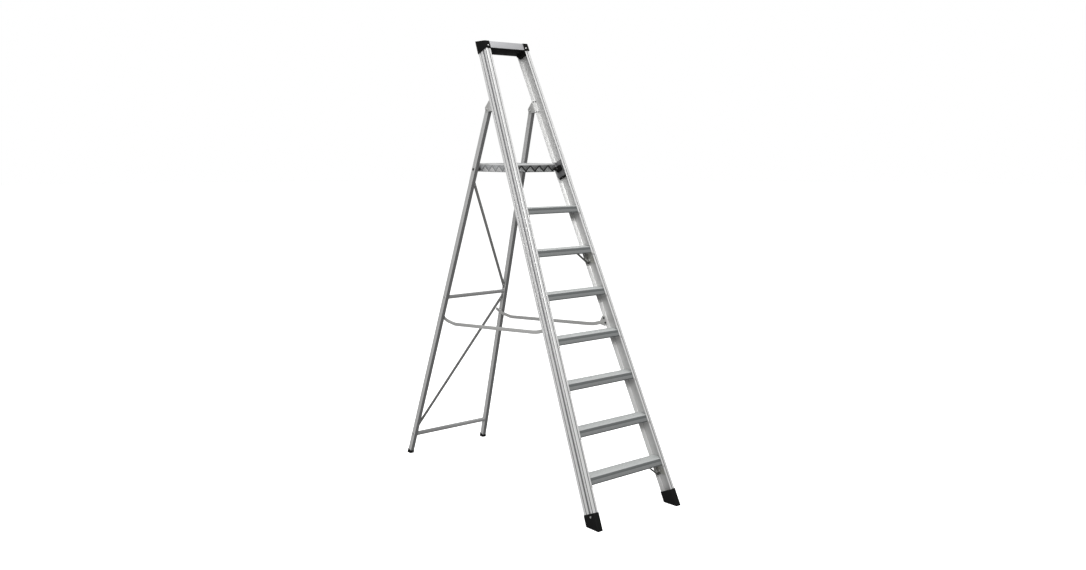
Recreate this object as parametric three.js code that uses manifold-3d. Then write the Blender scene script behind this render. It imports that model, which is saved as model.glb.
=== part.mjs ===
// Aluminium platform step ladder: seven treads, chequer plate platform, folding rear frame.
// Millimetres, +Z up, the climber stands on the -Y side, X runs across the ladder.
import * as THREE from 'three';
import { mergeVertices } from 'three/addons/utils/BufferGeometryUtils.js';
import Module from 'manifold-3d';

const wasm = await Module();
wasm.setup();

// Front frame
const LEAN = THREE.MathUtils.degToRad(24);
const SIDE_TAPER = 0.06;
const HALF_BASE = 325;
const FRONT_OFFSET = -8.9;
const STILE_DEPTH = 85;
const STILE_WIDTH = 32;
const WEB = 4.5;
const FLANGE = 3.5;
const GROOVE = 1.8;
const WEB_GROOVES = [[6.5, 12.5], [27, 41], [60.5, 66.5]];
const FLANGE_GROOVE = [15.5, 21];
const STILE_START = 48;
const STILE_END = 2900;
const SHOE_TOP = 103;
const SHOE_WALL = 2.5;

// Treads
const TREAD_COUNT = 7;
const TREAD_PITCH = 240;
const FIRST_TREAD = 260;
const TREAD_SETBACK = 6.2;
const TREAD_DEPTH = 79;
const TREAD_DROP = 37;
const BRACED_TREADS = [1, 6];
const KNEE_DROP = 62;
const KNEE_FOOT = 30;
const KNEE_HEAD = 140;
const STEM_DROP = 12;
const KNEE_PLATE = [6, 84];
const KNEE_WIDTH = 18;
const KNEE_STRAP_DEPTH = 36;

// Top of the front frame
const TOP_BAR_HALF = 130.5;
const TOP_BAR_HEIGHT = 2688;
const TOP_BAR_WALL = 3;
const CAP_HEIGHT = 2690;
const CAP_WALL = 3;
const CAP_INSIDE = 6;

// Rear frame
const REAR_SLOPE = 0.319;
const REAR_LEAN = Math.atan(REAR_SLOPE);
const REAR_BASE_Y = 1871.6;
const LEG_HALF_BASE = 305;
const LEG_WIDTH = 26;
const LEG_DEPTH = 35;
const LEG_WALL = 2.2;
const LEG_START = 26;
const LEG_HEAD = 14;
const HINGE_Z = 2278;
const HINGE_PLAY = 0.9;
const HINGE_PLATE = [2523, 2595];
const HINGE_CHEEK = [[146, 2545], [140, 2573]];
const HINGE_BORE = 5.5;
const MIDDLE_BAR_Z = 1097;
const BOTTOM_BAR_Z = 138;
const MIDDLE_BAR_RADIUS = 12;
const BOTTOM_BAR_RADIUS = 14;
const BRACE_WIDTH = 15;
const BRACE_DEPTH = 10;

// Platform
const PLATFORM_TOP = 1953;
const PLATFORM_FRONT = 912;
const PLATFORM_REAR = 1286;
const PLATFORM_HALF = 155;
const PLATFORM_SKIRT = 50;
const PLATFORM_PIVOT_Z = 1918;
const STUD_Y = 926;
const STUD_Z = 1921;
const STUD_RADIUS = 7;
const BRACKET_SPAN = [1900, 1994];

// Stays
const STAY_PIVOT_Z = 961;
const STAY_OFFSET = 286;
const STAY_THICKNESS = 4;
const STAY_HEIGHT = 22;
const STAY_LINE = [[1600, 970], [1526, 943], [1440, 931], [660, 987], [622, 992], [558, 1010]];
const CLIP_CORNERS = [[514, 1000], [538, 992], [574, 998], [576, 1018], [556, 1052], [530, 1056]];

const SHEET = 2.5;
const GAP = 0.3;
const ROUND = 28;
const DEPTH_CENTRE = 939.7;
const SIDES = { left: -1, right: 1 };

const FINISH = {
  aluminium: { color: 0xc9ccce, roughness: 0.38, metalness: 0.85 },
  tread: { color: 0xaab0b4, roughness: 0.5, metalness: 0.8 },
  steel: { color: 0x9c9d98, roughness: 0.45, metalness: 0.85 },
  bolt: { color: 0x8d8f90, roughness: 0.4, metalness: 0.9 },
  rubber: { color: 0x1b1b1d, roughness: 0.75, metalness: 0 },
  plastic: { color: 0x202124, roughness: 0.55, metalness: 0 },
};

// ---------------------------------------------------------------- helpers

function part(name, geometry, finish) {
  const mesh = new THREE.Mesh(geometry, new THREE.MeshStandardMaterial(FINISH[finish]));
  mesh.name = name;
  return mesh;
}

function group(name, children, position = [0, 0, 0], rotation = [0, 0, 0]) {
  const node = new THREE.Group();
  node.name = name;
  node.add(...children);
  node.position.set(...position);
  node.rotation.set(...rotation);
  return node;
}

function prism(points, length) {
  const shape = new THREE.Shape(points.map(([x, y]) => new THREE.Vector2(x, y)));
  return new THREE.ExtrudeGeometry(shape, { depth: length, bevelEnabled: false });
}

// Prism whose outline lies in the Y-Z plane, reaching from x0 to x1.
function sidePrism(points, x0, x1) {
  const geometry = prism(points, x1 - x0);
  const basis = new THREE.Matrix4().set(0, 0, 1, x0, 1, 0, 0, 0, 0, 1, 0, 0, 0, 0, 0, 1);
  return geometry.applyMatrix4(basis);
}

function box(x0, x1, y0, y1, z0, z1) {
  return prism([[x0, y0], [x1, y0], [x1, y1], [x0, y1]], z1 - z0).translate(0, 0, z0);
}

// Turned shape along X. Profile rows are [position along X, radius].
function turned(profile, y = 0, z = 0) {
  const points = profile.map(([along, radius]) => new THREE.Vector2(radius, along));
  const geometry = new THREE.LatheGeometry(points, ROUND);
  return geometry.rotateZ(-Math.PI / 2).translate(0, y, z);
}

function rod(x0, x1, radius, y = 0, z = 0) {
  return turned([[x0, 0], [x0, radius], [x1, radius], [x1, 0]], y, z);
}

function solid(geometry) {
  const bare = geometry.clone();
  bare.deleteAttribute('normal');
  bare.deleteAttribute('uv');
  const merged = mergeVertices(bare, 1e-3);
  const triVerts = new Uint32Array(merged.index.array);
  const vertProperties = new Float32Array(merged.attributes.position.array);
  return new wasm.Manifold(new wasm.Mesh({ numProp: 3, vertProperties, triVerts }));
}

function surface(manifold) {
  const mesh = manifold.getMesh();
  const geometry = new THREE.BufferGeometry();
  geometry.setAttribute('position', new THREE.BufferAttribute(mesh.vertProperties, 3));
  geometry.setIndex(new THREE.BufferAttribute(mesh.triVerts, 1));
  const flat = geometry.toNonIndexed();
  flat.computeVertexNormals();
  return flat;
}

function cut(geometry, ...tools) {
  return surface(tools.reduce((body, tool) => body.subtract(solid(tool)), solid(geometry)));
}

function join(geometry, ...others) {
  return surface(others.reduce((body, other) => body.add(solid(other)), solid(geometry)));
}

// Mirrors outlines for the left-hand side.
function handed(points, side) {
  return points.map(([x, y]) => [x * side, y]);
}

// Front plane coordinates: depth across the stile and distance along it.
function frontDepth(y, z) {
  return (y - FRONT_OFFSET) * Math.cos(LEAN) - z * Math.sin(LEAN);
}

function frontRun(y, z) {
  return (y - FRONT_OFFSET) * Math.sin(LEAN) + z * Math.cos(LEAN);
}

function frontFaceY(z) {
  return FRONT_OFFSET + z * Math.tan(LEAN);
}

function halfWidth(z) {
  return HALF_BASE - SIDE_TAPER * z;
}

function rearCentreY(z) {
  return REAR_BASE_Y - REAR_SLOPE * z;
}

function legCentreX(z) {
  return LEG_HALF_BASE - SIDE_TAPER * z;
}

// Tilts that stand a side part in the tapered plane of its frame.
function frontTilt(side) {
  return -side * Math.atan(SIDE_TAPER * Math.cos(LEAN));
}

function rearTilt(side) {
  return -side * Math.atan(SIDE_TAPER * Math.cos(REAR_LEAN));
}

function onStile(mesh, side) {
  mesh.position.x = side * HALF_BASE;
  mesh.rotation.y = frontTilt(side);
  return mesh;
}

function onLeg(mesh, side) {
  mesh.position.x = side * LEG_HALF_BASE;
  mesh.rotation.y = rearTilt(side);
  return mesh;
}

// Matrix of a stile or leg, used to bring cross holes into its own frame.
function stileMatrix(side) {
  const lean = new THREE.Matrix4().makeRotationX(-LEAN).setPosition(0, FRONT_OFFSET, 0);
  const tilt = new THREE.Matrix4().makeRotationY(frontTilt(side)).setPosition(side * HALF_BASE, 0, 0);
  return lean.multiply(tilt);
}

function legMatrix(side) {
  const lean = new THREE.Matrix4().makeRotationX(REAR_LEAN).setPosition(0, REAR_BASE_Y, 0);
  const tilt = new THREE.Matrix4().makeRotationY(rearTilt(side)).setPosition(side * LEG_HALF_BASE, 0, 0);
  return lean.multiply(tilt);
}

function crossHole(matrix, side, radius, y, z, reach = [100, 400]) {
  const [x0, x1] = side > 0 ? reach : [-reach[1], -reach[0]];
  return rod(x0, x1, radius, y, z).applyMatrix4(matrix.clone().invert());
}

function bothSides(build) {
  return Object.entries(SIDES).map(([word, side]) => build(word, side));
}

// ---------------------------------------------------------------- front frame

function stileOutline() {
  const slope = 0.8;
  const outer = WEB_GROOVES.flatMap(([near, far]) => (
    [[0, near], [-GROOVE, near + slope], [-GROOVE, far - slope], [0, far]]
  ));
  const [close, away] = FLANGE_GROOVE;
  const flangeGroove = [[-away, 0], [-away + slope, GROOVE], [-close - slope, GROOVE], [-close, 0]];
  const inner = STILE_DEPTH - FLANGE;
  return [
    [-STILE_WIDTH, 0],
    ...flangeGroove,
    [-1.5, 0],
    [0, 1.5],
    ...outer,
    [0, STILE_DEPTH - 2.5],
    [-2.5, STILE_DEPTH],
    [-STILE_WIDTH, STILE_DEPTH],
    [-STILE_WIDTH, inner],
    [-WEB, inner],
    [-WEB, FLANGE],
    [-STILE_WIDTH, FLANGE],
  ];
}

function stile(word, side) {
  const geometry = prism(handed(stileOutline(), side), STILE_END - STILE_START);
  return onStile(part(`${word}_stile`, geometry.translate(0, 0, STILE_START), 'aluminium'), side);
}

function treadOutline() {
  const slant = Math.tan(LEAN);
  const back = TREAD_DEPTH;
  const skirt = 22;
  return [
    [-TREAD_DROP * slant - 1, -TREAD_DROP],
    [-30 * slant - 1, -30],
    [-29 * slant, -29],
    [-8 * slant, -8],
    [-1, -3.6],
    [2, -1],
    [6, 0],
    [back, 0],
    [back - skirt * slant, -skirt],
    [back - skirt * slant - SHEET, -skirt],
    [back - 3 * slant - SHEET, -3],
    ...[53, 28].flatMap((stem) => [
      [stem, -3],
      [stem, -STEM_DROP],
      [stem - SHEET, -STEM_DROP],
      [stem - SHEET, -3],
    ]),
    [7, -3],
    [SHEET + 0.5, -6],
    [-34.5 * slant + SHEET, -34.5],
    [-34.5 * slant + 12, -34.5],
    [-TREAD_DROP * slant + 13, -TREAD_DROP],
  ];
}

// Space taken by both stile webs and everything outside them.
function beyondWebs() {
  const near = WEB + GAP;
  return bothSides((_, side) => {
    const reach = side > 0 ? [-near, near * 20] : [-near * 20, near];
    return box(...reach, -200, 300, 0, STILE_END).applyMatrix4(stileMatrix(side));
  });
}

function tread(index) {
  const top = FIRST_TREAD + TREAD_PITCH * (index - 1);
  const reach = halfWidth(top) + WEB;
  const front = frontFaceY(top) + TREAD_SETBACK;
  const outline = treadOutline().map(([y, z]) => [front + y, top + z]);
  const geometry = cut(sidePrism(outline, -reach, reach), ...beyondWebs());
  return part(`tread_${index}`, geometry, 'tread');
}

// Folded knee bracket under a tread's right-hand end: a plate on the web and a diagonal strap.
function kneeBracket(index) {
  const top = FIRST_TREAD + TREAD_PITCH * (index - 1) - TREAD_DROP - 1;
  const low = top - KNEE_DROP;
  const web = halfWidth(top) - WEB;
  const [foot, head] = [web - KNEE_FOOT, web - KNEE_HEAD];
  const [near, far] = KNEE_PLATE;
  const strapTop = top + TREAD_DROP + 1 - STEM_DROP - GAP;
  const plateOutline = [
    [frontFaceY(low) + near, low],
    [frontFaceY(low) + far, low],
    [frontFaceY(top) + far, top],
    [frontFaceY(top) + near, top],
  ];
  const plate = sidePrism(plateOutline, web - SHEET * 2, web + SHEET * 2);
  const outline = [
    [web - 1, low],
    [foot - 2, low],
    [head - 4, strapTop - SHEET],
    [head - 24, strapTop - SHEET],
    [head - 24, strapTop],
    [head + 2, strapTop],
    [foot + 1, low + 5],
    [web - 1, low + 5],
  ];
  const strapY = frontFaceY(top) + KNEE_STRAP_DEPTH;
  const strap = prism(outline, KNEE_WIDTH).rotateX(Math.PI / 2).translate(0, strapY + KNEE_WIDTH, 0);
  return part(`tread_${index}_knee_right`, cut(join(plate, strap), ...beyondWebs()), 'steel');
}

function shoe(word, side) {
  const outline = (margin) => handed([
    [-STILE_WIDTH - margin, -margin],
    [margin, -margin],
    [margin, STILE_DEPTH + margin],
    [-STILE_WIDTH - margin, STILE_DEPTH + margin],
  ], side);
  const body = prism(outline(SHOE_WALL), SHOE_TOP + 60).translate(0, 0, -60);
  const pocket = prism(outline(GAP), SHOE_TOP).translate(0, 0, STILE_START - GAP);
  const below = box(-900, 900, -900, 900, -400, 0).applyMatrix4(stileMatrix(side).invert());
  return onStile(part(`front_shoe_${word}`, cut(body, pocket, below), 'rubber'), side);
}

function topOutline(inset) {
  const rise = TOP_BAR_HEIGHT - inset;
  const front = frontFaceY(0);
  const corner = (depth, run) => [
    front + depth * Math.cos(LEAN) + run * Math.sin(LEAN),
    run * Math.cos(LEAN) - depth * Math.sin(LEAN),
  ];
  const onTop = (depth) => [front + depth / Math.cos(LEAN) + rise * Math.tan(LEAN), rise];
  return [
    corner(inset, STILE_END),
    corner(STILE_DEPTH - inset, STILE_END),
    onTop(STILE_DEPTH - inset),
    onTop(inset),
  ];
}

function topBar() {
  const half = TOP_BAR_HALF;
  const outer = sidePrism(topOutline(0), -half, half);
  const bore = topOutline(TOP_BAR_WALL);
  const hollow = sidePrism(bore, -half - 5, half + 5);
  const slit = sidePrism(bore.map(([y, z]) => [y - 3, z - 6]), -half - 5, half + 5);
  return part('top_bar', cut(outer, hollow, slit), 'aluminium');
}

function topBarInfill() {
  const half = TOP_BAR_HALF;
  const body = sidePrism(topOutline(TOP_BAR_WALL + GAP), -half, half);
  const upper = sidePrism(topOutline(0).map(([y, z]) => [y + 6, z + 14]), -half - 5, half + 5);
  return part('top_bar_infill', cut(body, upper), 'plastic');
}

function topCap(word, side) {
  const outline = handed([
    [-STILE_WIDTH - CAP_INSIDE, -CAP_WALL],
    [CAP_WALL, -CAP_WALL],
    [CAP_WALL, STILE_DEPTH + CAP_WALL],
    [-STILE_WIDTH - CAP_INSIDE, STILE_DEPTH + CAP_WALL],
  ], side);
  const plug = handed([
    [-STILE_WIDTH + 2, FLANGE + GAP],
    [-WEB - GAP, FLANGE + GAP],
    [-WEB - GAP, STILE_DEPTH - FLANGE - GAP],
    [-STILE_WIDTH + 2, STILE_DEPTH - FLANGE - GAP],
  ], side);
  const body = prism(outline, 140).translate(0, 0, STILE_END + GAP);
  const spigot = prism(plug, 20).translate(0, 0, STILE_END - 14);
  const toLocal = stileMatrix(side).invert();
  const above = box(-900, 900, 500, 2000, CAP_HEIGHT, CAP_HEIGHT + 300).applyMatrix4(toLocal);
  const reach = TOP_BAR_HALF + GAP;
  const bar = box(-reach, reach, 500, 2000, 2300, 3000).applyMatrix4(toLocal);
  const geometry = cut(join(body, spigot), above, bar);
  return onStile(part(`top_cap_${word}`, geometry, 'plastic'), side);
}

// Plate inside the channel that carries the platform's front stud.
function platformBracket(word, side) {
  const [low, high] = BRACKET_SPAN;
  const run = (z) => frontRun(frontFaceY(z), z);
  const outline = [
    [FLANGE + 1, run(low)],
    [STILE_DEPTH - FLANGE - 1, run(low)],
    [STILE_DEPTH - FLANGE - 1, run(high)],
    [FLANGE + 1, run(high)],
  ];
  const inner = side > 0 ? [-WEB - GAP - 4, -WEB - GAP] : [WEB + GAP, WEB + GAP + 4];
  const plate = sidePrism(outline, ...inner);
  const hole = crossHole(stileMatrix(side), side, STUD_RADIUS + GAP, STUD_Y, STUD_Z);
  return onStile(part(`platform_bracket_${word}`, cut(plate, hole), 'steel'), side);
}

function platformPad(word, side) {
  const low = frontRun(frontFaceY(BRACKET_SPAN[0]), BRACKET_SPAN[0]) - GAP;
  const body = box(0, 18, FLANGE + 1, STILE_DEPTH - FLANGE - 1, low - 8, low);
  const offset = side > 0 ? -WEB - GAP - 18 : WEB + GAP;
  return onStile(part(`platform_pad_${word}`, body.translate(offset, 0, 0), 'rubber'), side);
}

function platformStud(word, side) {
  const web = halfWidth(STUD_Z) - WEB - 3;
  const profile = [
    [PLATFORM_HALF - 8, 0],
    [PLATFORM_HALF - 8, STUD_RADIUS],
    [web, STUD_RADIUS],
    [web, 0],
  ];
  const geometry = turned(profile);
  const placed = side > 0 ? geometry : geometry.rotateY(Math.PI);
  return part(`platform_stud_${word}`, placed.translate(0, STUD_Y, STUD_Z), 'bolt');
}

// U bracket on the stile's rear flange with two cheeks around the leg's head.
function hingeBracket(word, side) {
  const [legOuter, legInner] = [-4, -4 - LEG_WIDTH];
  const base = STILE_DEPTH + GAP;
  const [low, high] = HINGE_PLATE;
  const cheek = [[base, low], ...HINGE_CHEEK, [base, high]];
  const outer = [legOuter + HINGE_PLAY, legOuter + HINGE_PLAY + SHEET];
  const inner = [legInner - HINGE_PLAY - SHEET, legInner - HINGE_PLAY];
  const plate = box(inner[0], outer[1], base, base + 3, low, high);
  const body = join(plate, sidePrism(cheek, ...outer), sidePrism(cheek, ...inner));
  const placed = side > 0 ? body : surface(solid(body).mirror([1, 0, 0]));
  const hole = crossHole(stileMatrix(side), side, HINGE_BORE, rearCentreY(HINGE_Z), HINGE_Z);
  return onStile(part(`hinge_bracket_${word}`, cut(placed, hole), 'steel'), side);
}

function hingePin(word, side) {
  const centre = legCentreX(HINGE_Z);
  const reach = LEG_WIDTH / 2 + HINGE_PLAY * 2 + SHEET;
  const profile = [
    [centre - reach - 3, 0],
    [centre - reach - 3, 7.5],
    [centre - reach, 8],
    [centre - reach, 5],
    [centre + reach, 5],
    [centre + reach, 8],
    [centre + reach + 3, 7.5],
    [centre + reach + 3, 0],
  ];
  const geometry = turned(profile);
  const placed = side > 0 ? geometry : geometry.rotateY(Math.PI);
  return part(`hinge_pin_${word}`, placed.translate(0, rearCentreY(HINGE_Z), HINGE_Z), 'bolt');
}

// Small plate on the stile's rear lip beside the end of a stay.
function stayClip(word, side) {
  const outline = CLIP_CORNERS.map(([y, z]) => [frontDepth(y, z), frontRun(y, z)]);
  const plane = STILE_WIDTH + GAP;
  const reach = side > 0 ? [-plane - SHEET, -plane] : [plane, plane + SHEET];
  return onStile(part(`stay_clip_${word}`, sidePrism(outline, ...reach), 'steel'), side);
}

// ---------------------------------------------------------------- rear frame

function legTop() {
  return HINGE_Z / Math.cos(REAR_LEAN) + LEG_HEAD;
}

function rearLeg(word, side) {
  const [a, b] = [LEG_WIDTH / 2, LEG_DEPTH / 2];
  const length = legTop() - LEG_START;
  const outer = box(-a, a, -b, b, LEG_START, LEG_START + length);
  const w = LEG_WALL;
  const bore = box(-a + w, a - w, -b + w, b - w, LEG_START - 5, LEG_START + length + 5);
  const matrix = legMatrix(side);
  const holes = [
    crossHole(matrix, side, HINGE_BORE, rearCentreY(HINGE_Z), HINGE_Z),
    crossHole(matrix, side, HINGE_BORE, rearCentreY(PLATFORM_PIVOT_Z), PLATFORM_PIVOT_Z),
    stayPivotHole(side, a),
  ];
  return onLeg(part(`rear_leg_${word}`, cut(outer, bore, ...holes), 'aluminium'), side);
}

// Where a stay's pivot axis crosses the leg, in the leg's own frame.
function stayPivotPoint(side) {
  const x = side * (STAY_OFFSET - STAY_THICKNESS / 2 - SIDE_TAPER * STAY_PIVOT_Z);
  const point = new THREE.Vector3(x, rearCentreY(STAY_PIVOT_Z), STAY_PIVOT_Z);
  return point.applyMatrix4(legMatrix(side).invert());
}

function stayPivotHole(side, reach) {
  const [x0, x1] = side > 0 ? [-reach - 2, 0] : [0, reach + 2];
  const { y, z } = stayPivotPoint(side);
  return rod(x0, x1, 4.4, y, z);
}

function rearFoot(word, side) {
  const [a, b] = [LEG_WIDTH / 2, LEG_DEPTH / 2];
  const body = box(-a - 1, a + 1, -b - 1, b + 1, -40, LEG_START - GAP);
  const inset = LEG_WALL + GAP;
  const spigot = box(-a + inset, a - inset, -b + inset, b - inset, LEG_START - 5, LEG_START + 25);
  const toLocal = legMatrix(side).invert();
  const below = box(-900, 900, 900, 2900, -400, 0).applyMatrix4(toLocal);
  return onLeg(part(`rear_foot_${word}`, cut(join(body, spigot), below), 'rubber'), side);
}

function crossbar(name, z, radius) {
  const half = legCentreX(z) - LEG_WIDTH / 2 - 1.5;
  const bore = rod(-half - 5, half + 5, radius - 2);
  const tube = cut(rod(-half, half, radius), bore);
  return part(name, tube.translate(0, 0, z / Math.cos(REAR_LEAN)), 'aluminium');
}

// Diagonal bar between the legs; ends are [x, height] in the rear plane.
function brace(name, lowEnd, highEnd) {
  const [a, b] = [lowEnd, highEnd].map(([x, z]) => new THREE.Vector2(x, z / Math.cos(REAR_LEAN)));
  const half = BRACE_WIDTH / 2;
  const slope = b.clone().sub(a);
  const step = half * slope.length() / Math.abs(slope.x);
  const points = [[a.x, a.y - step], [b.x, b.y - step], [b.x, b.y + step], [a.x, a.y + step]];
  const strip = prism(points, BRACE_DEPTH).rotateX(Math.PI / 2).translate(0, BRACE_DEPTH / 2, 0);
  return part(name, strip, 'aluminium');
}

function stayPivot(word, side) {
  const inner = LEG_WIDTH / 2;
  const face = LEG_HALF_BASE - STAY_OFFSET;
  const profile = [
    [-face - STAY_THICKNESS - GAP - 4, 0],
    [-face - STAY_THICKNESS - GAP - 4, 7],
    [-face - STAY_THICKNESS - GAP, 8],
    [-face - STAY_THICKNESS - GAP, 4],
    [-face + GAP, 4],
    [-face + GAP, 8],
    [-inner - GAP, 8],
    [-inner - GAP, 4],
    [-inner + 5, 4],
    [-inner + 5, 0],
  ];
  const geometry = turned(profile);
  const placed = side > 0 ? geometry : geometry.rotateY(Math.PI);
  const { y, z } = stayPivotPoint(side);
  return onLeg(part(`stay_pivot_${word}`, placed.translate(0, y, z), 'bolt'), side);
}

function platformPivot(word, side) {
  const centre = legCentreX(PLATFORM_PIVOT_Z);
  const outer = centre + LEG_WIDTH / 2 + 0.8;
  const inner = centre - LEG_WIDTH / 2 - 0.8;
  const profile = [
    [PLATFORM_HALF - 12, 0],
    [PLATFORM_HALF - 12, 5],
    [PLATFORM_HALF + GAP, 5],
    [PLATFORM_HALF + GAP, 10],
    [inner, 10],
    [inner, 5],
    [outer, 5],
    [outer, 8],
    [outer + 4, 7],
    [outer + 4, 0],
  ];
  const geometry = turned(profile);
  const placed = side > 0 ? geometry : geometry.rotateY(Math.PI);
  placed.translate(0, rearCentreY(PLATFORM_PIVOT_Z), PLATFORM_PIVOT_Z);
  return part(`platform_pivot_${word}`, placed, 'bolt');
}

// ---------------------------------------------------------------- moving pieces

function platform() {
  const [half, low] = [PLATFORM_HALF, PLATFORM_TOP - PLATFORM_SKIRT];
  const wall = 3;
  const outer = box(-half, half, PLATFORM_FRONT, PLATFORM_REAR, low, PLATFORM_TOP);
  const inner = [PLATFORM_FRONT + wall, PLATFORM_REAR - wall];
  const hollow = box(-half + wall, half - wall, ...inner, low - 5, PLATFORM_TOP - wall);
  const bore = rod(-half - 5, half + 5, HINGE_BORE, rearCentreY(PLATFORM_PIVOT_Z), PLATFORM_PIVOT_Z);
  const radius = STUD_RADIUS + GAP * 2;
  const seat = rod(-half - 5, half + 5, radius, STUD_Y, STUD_Z);
  const slotY = [STUD_Y - radius, STUD_Y + radius];
  const slot = box(-half - 5, half + 5, ...slotY, low - 5, STUD_Z);
  return part('platform', cut(outer, hollow, bore, seat, slot), 'tread');
}

// Offsets a polyline to both sides and closes it into a strip outline.
function stripOutline(line, half) {
  const points = line.map(([y, z]) => new THREE.Vector2(y, z));
  const normals = points.slice(1).map((point, i) => {
    const way = point.clone().sub(points[i]).normalize();
    return new THREE.Vector2(-way.y, way.x);
  });
  const offset = (sign) => points.map((point, i) => {
    const before = normals[Math.max(i - 1, 0)];
    const after = normals[Math.min(i, normals.length - 1)];
    const mid = before.clone().add(after).normalize();
    const reach = sign * half / mid.dot(before);
    return [point.x + mid.x * reach, point.y + mid.y * reach];
  });
  return [...offset(1), ...offset(-1).toReversed()];
}

function stay(word, side) {
  const cosine = Math.cos(Math.atan(SIDE_TAPER));
  const line = STAY_LINE.map(([y, z]) => [y, z / cosine]);
  const outline = stripOutline(line, STAY_HEIGHT / 2);
  const strip = side > 0
    ? sidePrism(outline, -STAY_THICKNESS, 0)
    : sidePrism(outline, 0, STAY_THICKNESS);
  const reach = side > 0 ? [-STAY_THICKNESS - 5, 5] : [-5, STAY_THICKNESS + 5];
  const pivotY = rearCentreY(STAY_PIVOT_Z);
  const hole = rod(...reach, 4.4, pivotY, STAY_PIVOT_Z / cosine);
  const mesh = part(`stay_${word}`, cut(strip, hole), 'aluminium');
  mesh.position.x = side * STAY_OFFSET;
  mesh.rotation.y = -side * Math.atan(SIDE_TAPER);
  return mesh;
}

// ---------------------------------------------------------------- assembly

function frontFrame() {
  const leaning = [stile, shoe, topCap, platformBracket, platformPad, hingeBracket, stayClip];
  const plane = leaning.flatMap((build) => bothSides(build));
  const treads = Array.from({ length: TREAD_COUNT }, (_, i) => tread(i + 1));
  const knees = BRACED_TREADS.map(kneeBracket);
  const studs = [platformStud, hingePin].flatMap((build) => bothSides(build));
  return group('front_frame', [
    group('front_plane', plane, [0, FRONT_OFFSET, 0], [-LEAN, 0, 0]),
    ...treads,
    ...knees,
    ...studs,
    topBar(),
    topBarInfill(),
  ]);
}

function rearFrame() {
  const plane = [rearLeg, rearFoot, stayPivot].flatMap((build) => bothSides(build));
  plane.push(
    crossbar('rear_crossbar_middle', MIDDLE_BAR_Z, MIDDLE_BAR_RADIUS),
    crossbar('rear_crossbar_bottom', BOTTOM_BAR_Z, BOTTOM_BAR_RADIUS),
    brace('brace_upper', [223, 1132], [-180, 1836]),
    brace('brace_lower', [-275, 210], [225, 1062]),
  );
  return group('rear_frame', [
    group('rear_plane', plane, [0, REAR_BASE_Y, 0], [REAR_LEAN, 0, 0]),
    ...bothSides(platformPivot),
  ]);
}

const moving = group('moving', [platform(), ...bothSides(stay)]);

export default group('step_ladder', [frontFrame(), rearFrame(), moving], [0, -DEPTH_CENTRE, 0]);
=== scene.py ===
"""Aluminium platform step ladder: the visible pieces, their finishes and the studio."""

import logging
import math
from dataclasses import dataclass
from enum import Enum
from typing import Callable, Sequence

import bmesh
import bpy
from bmesh.types import BMEdge, BMesh, BMFace, BMVert
from mathutils import Matrix, Vector


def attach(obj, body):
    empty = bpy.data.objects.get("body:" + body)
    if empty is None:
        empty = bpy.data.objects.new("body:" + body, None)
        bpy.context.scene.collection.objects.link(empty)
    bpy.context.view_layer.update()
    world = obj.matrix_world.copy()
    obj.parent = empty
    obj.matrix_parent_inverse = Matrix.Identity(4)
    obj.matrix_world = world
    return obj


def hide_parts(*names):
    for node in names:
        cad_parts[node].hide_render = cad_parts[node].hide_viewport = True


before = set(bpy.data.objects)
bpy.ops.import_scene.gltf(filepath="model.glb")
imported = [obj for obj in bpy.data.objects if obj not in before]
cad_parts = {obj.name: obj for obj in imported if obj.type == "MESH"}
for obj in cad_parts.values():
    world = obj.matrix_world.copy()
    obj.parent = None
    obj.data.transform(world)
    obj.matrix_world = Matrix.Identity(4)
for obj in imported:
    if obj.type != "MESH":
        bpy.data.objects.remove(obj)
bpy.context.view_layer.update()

log = logging.getLogger("step_ladder")

Corner = tuple[float, float, float]
Point = tuple[float, float]
Colour = tuple[float, float, float]

MM = 0.001
TINY = 1e-4
CORNER_STEPS = 3
EDGE_STEPS = 2
TURNS = 32
HEAD_TURNS = 20
SCREW_TURNS = 24
FINE_EDGE = 0.5
THIN_EDGE = 0.6
SOFT_EDGE = 1.0
SHARP = math.radians(32.0)
SIDEWAYS = Matrix(((0, 0, 1, 0), (1, 0, 0, 0), (0, 1, 0, 0), (0, 0, 0, 1)))
QUARTER = math.radians(90.0)
FORWARD = Matrix.Rotation(-QUARTER, 4, "Z")
INWARD = Matrix.Rotation(-QUARTER, 4, "Y")
UPRIGHT = Matrix.Rotation(QUARTER, 4, "X")


class Side(Enum):
    """Left or right of the climber, as the sign of X."""

    LEFT = -1
    RIGHT = 1

    @property
    def word(self) -> str:
        """The side's name inside piece names."""
        return self.name.lower()

    @property
    def mirror(self) -> Matrix:
        """Matrix that turns a right-hand form into this side's."""
        return Matrix.Scale(self.value, 4, (1, 0, 0))


class Body(Enum):
    """The moving bodies that pieces ride on."""

    FRONT = "front_frame"
    REAR = "rear_frame"
    PLATFORM = "platform"
    STAY_LEFT = "stay_left"
    STAY_RIGHT = "stay_right"


class Slot(Enum):
    """The record's material slots."""

    EXTRUSION = "extrusion"
    WALKING = "walking_surface"
    PLATED = "plated_steel"
    FASTENER = "fastener"
    RUBBER = "rubber"
    CAP = "cap_plastic"


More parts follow.
